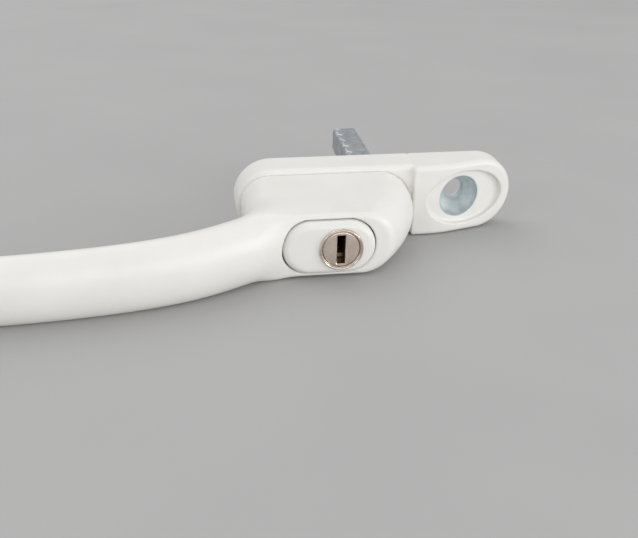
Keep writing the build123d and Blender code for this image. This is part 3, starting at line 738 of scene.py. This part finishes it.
def button_field(x, y, z):
    """Rounded cap with a soft crown, on a narrower guide block, bored for the lock."""
    crown = 0.006 * y * y + 0.002 * (x - BUTTON_X) ** 2
    cap = stadium(x, y, BUTTON_HALF, BUTTON_RADIUS, BUTTON_X)
    cap = both(cap, z - BUTTON_FACE - 0.1 + crown, 1.6)
    cap = both(cap, BUTTON_BACK - z, 0.25)
    guide = rounded_rectangle(
        x, y, (GUIDE_X[1] - GUIDE_X[0]) / 2, GUIDE_HALF, 2.0, sum(GUIDE_X) / 2
    )
    guide = both(guide, slab(z, GUIDE_BACK, BUTTON_BACK + 1), 0.3)
    shape = np.minimum(cap, guide)
    shape = cut(shape, np.maximum(disc(x, y, HOUSING + 0.03, CYLINDER_X), 20.2 - z), 0.05)
    slot = np.maximum(np.abs(x - CYLINDER_X) - 2.6, slab(z, 18.5, 20.3))
    shape = cut(shape, np.maximum(slot, -4.3 - y), 0.1)
    spring = np.maximum(disc(x, y, 2.05, SPRING_X), z - HEAD_FLOOR - SPRING_LENGTH)
    shape = cut(shape, spring, 0.1)
    screw = np.maximum(disc(x, y, PIN_THREAD_RADIUS, PIN_X), z - GUIDE_BACK - PIN_THREAD)
    shape = cut(shape, screw, 0.05)
    grub = np.sqrt(y**2 + (z - GRUB_Z) ** 2) - 1.25
    return cut(shape, np.maximum(grub, CYLINDER_X - x), 0.08)


def spindle_field(x, y, z):
    """Square bar with snap-off notches across its corners."""
    bar = rounded_rectangle(x, y, SPINDLE_HALF, SPINDLE_HALF, 1.1)
    bar = both(bar, z - SPINDLE_TOP, 0.3)
    bar = both(bar, -SPINDLE_REACH - z, 0.15)
    square = np.maximum(np.abs(x), np.abs(y))
    bar = both(bar, (square - SPINDLE_HALF + 1.0 - (z + SPINDLE_REACH)) * 0.7071, 0.2)
    radius = np.sqrt(x * x + y * y)
    turn = (z + SPINDLE_REACH - NOTCH_FIRST) / NOTCH_PITCH
    turn = turn - np.clip(np.round(turn), 0, NOTCH_COUNT - 1)
    notch = (np.abs(turn * NOTCH_PITCH) - (radius - NOTCH_RADIUS) * NOTCH_SPREAD) * 0.64
    bar = both(bar, -notch, 0.06)
    return cut(bar, np.sqrt(x**2 + (z - CROSS_PIN_Z) ** 2) - 1.0 + 0 * y, 0.05)


casting = solid(
    "base_casting", base_field, (-36.6, -9.6, -0.1), (36.6, 9.6, 11.0), 0.25,
    "white_coat", "base", ["base_plate"],
)
casting.data.materials[0] = SHADED_WELL_COAT
solid(
    "lever_casting", lever_field, (-122.2, -8.7, 0.7), (7.7, 8.7, 52.0), 0.36,
    "white_coat", "lever", ["lever_handle"],
)
solid(
    "button_cap", button_field, (-28.2, -6.6, 16.4), (-6.4, 6.6, 35.4), 0.2,
    "white_coat", "button", ["push_button"],
)
solid(
    "square_spindle", spindle_field, (-3.6, -3.6, -40.1), (3.6, 3.6, 15.1), 0.2,
    "zinc_steel", "lever", ["spindle"],
)


def turned(name, profile, slot, body, nodes, centre_x=0.0, r=0.12, segments=128):
    """A lathed piece with softened corners."""
    points, faces = lathe(soften(profile, r), centre_x, segments)
    return add_mesh(name, points, faces, slot, body, nodes)


def cylinder_rim():
    """Housing of the lock cylinder: a plated rim with a rolled edge on the button."""
    profile = [
        (2.0, HOUSING_BACK),
        (HOUSING, HOUSING_BACK),
        (HOUSING, BUTTON_FACE - 0.3),
        (RIM, BUTTON_FACE - 0.3),
        (RIM, RIM_TOP - 0.3),
        (RIM - 0.22, RIM_TOP),
        (PLUG + 0.42, RIM_TOP),
        (PLUG + 0.05, RIM_TOP - 0.42),
        (PLUG + 0.05, HOUSING_BACK + 1.0),
        (2.0, HOUSING_BACK + 1.0),
    ]
    turned("lock_cylinder_rim", profile, "nickel", "button", ["cylinder_housing"], CYLINDER_X)


def key_plug():
    """Plug with its keyway, wafer slots and tail; the keyway shows brass, darkened inward as
    painted shade.
    """
    back = HOUSING_BACK + 1.05
    profile = [
        (0.0001, back - 1.7),
        (CAM_SCREW_HEAD, back - 1.7),
        (CAM_SCREW_HEAD, back - 1.1),
        (PLUG_TAIL, back - 1.1),
        (PLUG_TAIL, back),
        (PLUG, back),
        (PLUG, PLUG_FACE - 0.16),
        (PLUG - 0.16, PLUG_FACE),
        (0.0001, PLUG_FACE),
    ]
    points, faces = lathe(soften(profile, 0.08, 2), CYLINDER_X)
    made = add_mesh("key_plug_face", points, faces, "nickel", "plug", ["key_plug"])
    made.data.materials[0] = PLUG_NICKEL
    made.data.materials.append(KEYWAY_SHADED_BRASS)
    cutters = [keyway_cutter()]
    for index in range(WAFER_COUNT):
        low = WAFER_FIRST + WAFER_PITCH * index
        heights = (low, low + WAFER_SLOT)
        cutters.append(block_mesh((-2.04, 2.04), (-3.54, 3.54), heights, CYLINDER_X))
    for cutter in cutters:
        subtract(made, cutter)
    for face in made.data.polygons:
        x, y, z = face.center / MM
        inside = abs(x - CYLINDER_X) < 2.1 and abs(z) < 3.7 and -y > KEYWAY_FLOOR - 1
        if inside and -y < PLUG_FACE - 0.1:
            face.material_index = 1
    made.data.set_sharp_from_angle(angle=math.radians(35))
    return made


def keyway_cutter():
    """The keyway, with a small flare where it opens in the face."""
    flare = 0.16
    sizes = [(0, KEYWAY_FLOOR), (0, PLUG_FACE - flare), (flare + 0.05, PLUG_FACE + 0.05)]
    points, faces = [], []
    for grow, z in sizes:
        half = KEYWAY_HALF + grow
        low, high = KEYWAY_ENDS[0] - grow, KEYWAY_ENDS[1] + grow
        for x, y in ((-half, low), (half, low), (half, high), (-half, high)):
            points.append((CYLINDER_X + x, y, z))
    for level in (0, 4):
        for i in range(4):
            j = (i + 1) % 4
            faces.append((level + i, level + j, level + 4 + j, level + 4 + i))
    faces += [(3, 2, 1, 0), (8, 9, 10, 11)]
    return scratch_mesh(points, faces)


def block_mesh(x_range, y_range, z_range, centre_x=0.0):
    """A box for cutting with."""
    points = [(centre_x + x, y, z) for z in z_range for x, y in (
        (x_range[0], y_range[0]), (x_range[1], y_range[0]),
        (x_range[1], y_range[1]), (x_range[0], y_range[1]))]
    faces = [(3, 2, 1, 0), (4, 5, 6, 7)]
    faces += [(i, (i + 1) % 4, 4 + (i + 1) % 4, 4 + i) for i in range(4)]
    return scratch_mesh(points, faces)


def scratch_mesh(points, faces):
    """A mesh for cutting with, in the scene's metres."""
    mesh = bpy.data.meshes.new("scratch")
    mesh.from_pydata([tuple(at(*p)) for p in points], [], faces)
    made = bpy.data.objects.new("scratch", mesh)
    bpy.context.scene.collection.objects.link(made)
    return made


def subtract(piece, cutter):
    """Cuts one mesh out of another and drops the cutter."""
    change = piece.modifiers.new("cut", "BOOLEAN")
    change.operation = "DIFFERENCE"
    change.solver = "EXACT"
    change.object = cutter
    bpy.context.view_layer.update()
    depsgraph = bpy.context.evaluated_depsgraph_get()
    cut_mesh = bpy.data.meshes.new_from_object(piece.evaluated_get(depsgraph))
    piece.modifiers.clear()
    old = piece.data
    piece.data = cut_mesh
    bpy.data.meshes.remove(old)
    bpy.data.objects.remove(cutter)


def button_spring():
    """Coil spring under the button, with closed ends; the spring shortens as the button goes in,
    though this mesh is built at one length only.
    """
    rings, around = 30 * SPRING_TURNS, 10
    closed = 1 / SPRING_TURNS
    points, faces = [], []
    for i in range(rings + 1):
        t = i / rings
        a = 2 * math.pi * SPRING_TURNS * t
        open_share = min(max((t - closed * 0.8) / (1 - closed * 1.6), 0), 1)
        low = SPRING_WIRE * (0.5 + min(t / (closed * 0.8), 1))
        z = low + open_share * (SPRING_LENGTH - 3 * SPRING_WIRE)
        z += SPRING_WIRE * max(t - 1 + closed * 0.8, 0) / (closed * 0.8)
        for k in range(around):
            b = 2 * math.pi * k / around
            r = SPRING_RADIUS + SPRING_WIRE / 2 * math.cos(b)
            height = HEAD_FLOOR + z - SPRING_WIRE * 0.5 + SPRING_WIRE / 2 * math.sin(b)
            points.append((SPRING_X + r * math.cos(a), r * math.sin(a), height))
    for i in range(rings):
        for k in range(around):
            j = (k + 1) % around
            one, two = i * around, (i + 1) * around
            faces.append((one + k, two + k, two + j, one + j))
    faces.append(tuple(range(around)))
    faces.append(tuple(reversed(range(rings * around, (rings + 1) * around))))
    coil = add_mesh("return_spring", points, faces, "spring_steel", "lever", ["button_spring"])
    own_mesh(coil)


cylinder_rim()
key_plug()
button_spring()
turned(
    "pivot_bush",
    [
        (NECK + 0.06, BACK_RECESS_DEPTH),
        (BUSH_OUTER, BACK_RECESS_DEPTH),
        (BUSH_OUTER, BUSH_SEAT),
        (BUSH_FLANGE, BUSH_SEAT),
        (BUSH_FLANGE, BUSH_TOP),
        (NECK + 0.06, BUSH_TOP),
    ],
    "nylon", "base", ["base_bush"],
)
turned(
    "wave_washer",
    [(6.25, 3.55), (8.0, 4.05), (8.0, 4.35), (6.25, 3.85)],
    "spring_steel", "base", ["spring_washer"], r=0.08,
)
turned(
    "flat_washer",
    [(NECK + 0.06, 2.9), (7.9, 2.9), (7.9, 3.5), (NECK + 0.06, 3.5)],
    "zinc_steel", "lever", ["thrust_washer"],
)
turned(
    "lock_pin",
    [
        (0.0001, PIN_TIP),
        (PIN_COLLAR - 0.4, PIN_TIP),
        (PIN_COLLAR, PIN_TIP + 0.4),
        (PIN_COLLAR, PIN_COLLAR_TOP),
        (PIN_SHANK, PIN_COLLAR_TOP),
        (PIN_SHANK, GUIDE_BACK),
        (PIN_THREAD_RADIUS, GUIDE_BACK),
        (PIN_THREAD_RADIUS, GUIDE_BACK + PIN_THREAD),
        (0.0001, GUIDE_BACK + PIN_THREAD),
    ],
    "zinc_steel", "button", ["locking_pin"], PIN_X,
)

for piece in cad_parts.values():
    for place in piece.material_slots:
        finish = FINISH[place.material.name]
        place.link = "OBJECT"
        place.material = finish


# ---------------------------------------------------------------- floor, light, camera

def floor():
    """Plain pale floor: the object rests on the front of its base and on its grip."""
    made = bpy.data.meshes.new("floor")
    corners = [(x * FLOOR_HALF, y * FLOOR_HALF, 0) for x, y in ((-1, -1), (1, -1), (1, 1), (-1, 1))]
    made.from_pydata(corners, [], [(0, 1, 2, 3)])
    ground = bpy.data.objects.new("floor", made)
    ground.location = (0.0, -BLOCK_TOP * MM, -(BASE_WIDTH / 2 + 0.05) * MM)
    ground.rotation_euler = (FLOOR_TILT, 0.0, 0.0)
    bpy.context.scene.collection.objects.link(ground)
    material, tree, shader, where = nodes_of("floor", (0.5, 0.5, 0.505), 0.75)
    patch = noise(tree, where, 60.0, 2.0)
    tree.links.new(
        tint(tree, patch, (0.470, 0.470, 0.469), (0.490, 0.490, 0.488)), shader.inputs["Base Color"]
    )
    shader.inputs["Specular IOR Level"].default_value = 0.2
    made.materials.append(material)


def area_light(name, place, target, size, power):
    """A soft rectangular light aimed at a point."""
    lamp = bpy.data.lights.new(name, "AREA")
    lamp.shape = "RECTANGLE"
    lamp.size, lamp.size_y = size
    lamp.energy = power
    made = bpy.data.objects.new(name, lamp)
    made.location = place
    aim = Vector(target) - Vector(place)
    made.rotation_euler = aim.to_track_quat("-Z", "Y").to_euler()
    bpy.context.scene.collection.objects.link(made)


def camera():
    """The camera: low in front, a little to the left, rolled slightly."""
    lens = bpy.data.cameras.new("camera")
    lens.lens = 50.0
    lens.sensor_width = 36.0
    lens.clip_start = 0.01
    made = bpy.data.objects.new("camera", lens)
    right = Vector((0.986, -0.163, 0.022)).normalized()
    back = Vector((-0.1545, -0.874, 0.461)).normalized()
    up = back.cross(right).normalized()
    right = up.cross(back)
    turn = Matrix((right, up, back)).transposed().to_4x4()
    made.matrix_world = Matrix.Translation((-0.0512, -0.2128, 0.0889)) @ turn
    bpy.context.scene.collection.objects.link(made)
    bpy.context.scene.camera = made


floor()
area_light("overhead", (-0.42, 0.62, 0.95), (-0.02, 0, 0), (1.3, 1.3), 4.8)
area_light("front", (0.30, -0.95, 0.26), (0.0, 0, 0), (1.1, 0.5), 3.1)
area_light("right", (0.90, -0.48, 0.27), (0.01, 0, 0), (0.4, 0.4), 2.6)
area_light("left", (-0.72, -0.66, 0.37), (-0.03, 0, 0), (0.3, 0.3), 0.7)
world = bpy.data.worlds.new("studio")
world.use_nodes = True
world.node_tree.nodes["Background"].inputs["Color"].default_value = (1.0, 1.0, 1.0, 1)
world.node_tree.nodes["Background"].inputs["Strength"].default_value = 0.61
bpy.context.scene.world = world
bpy.context.scene.view_settings.view_transform = "Standard"
camera()
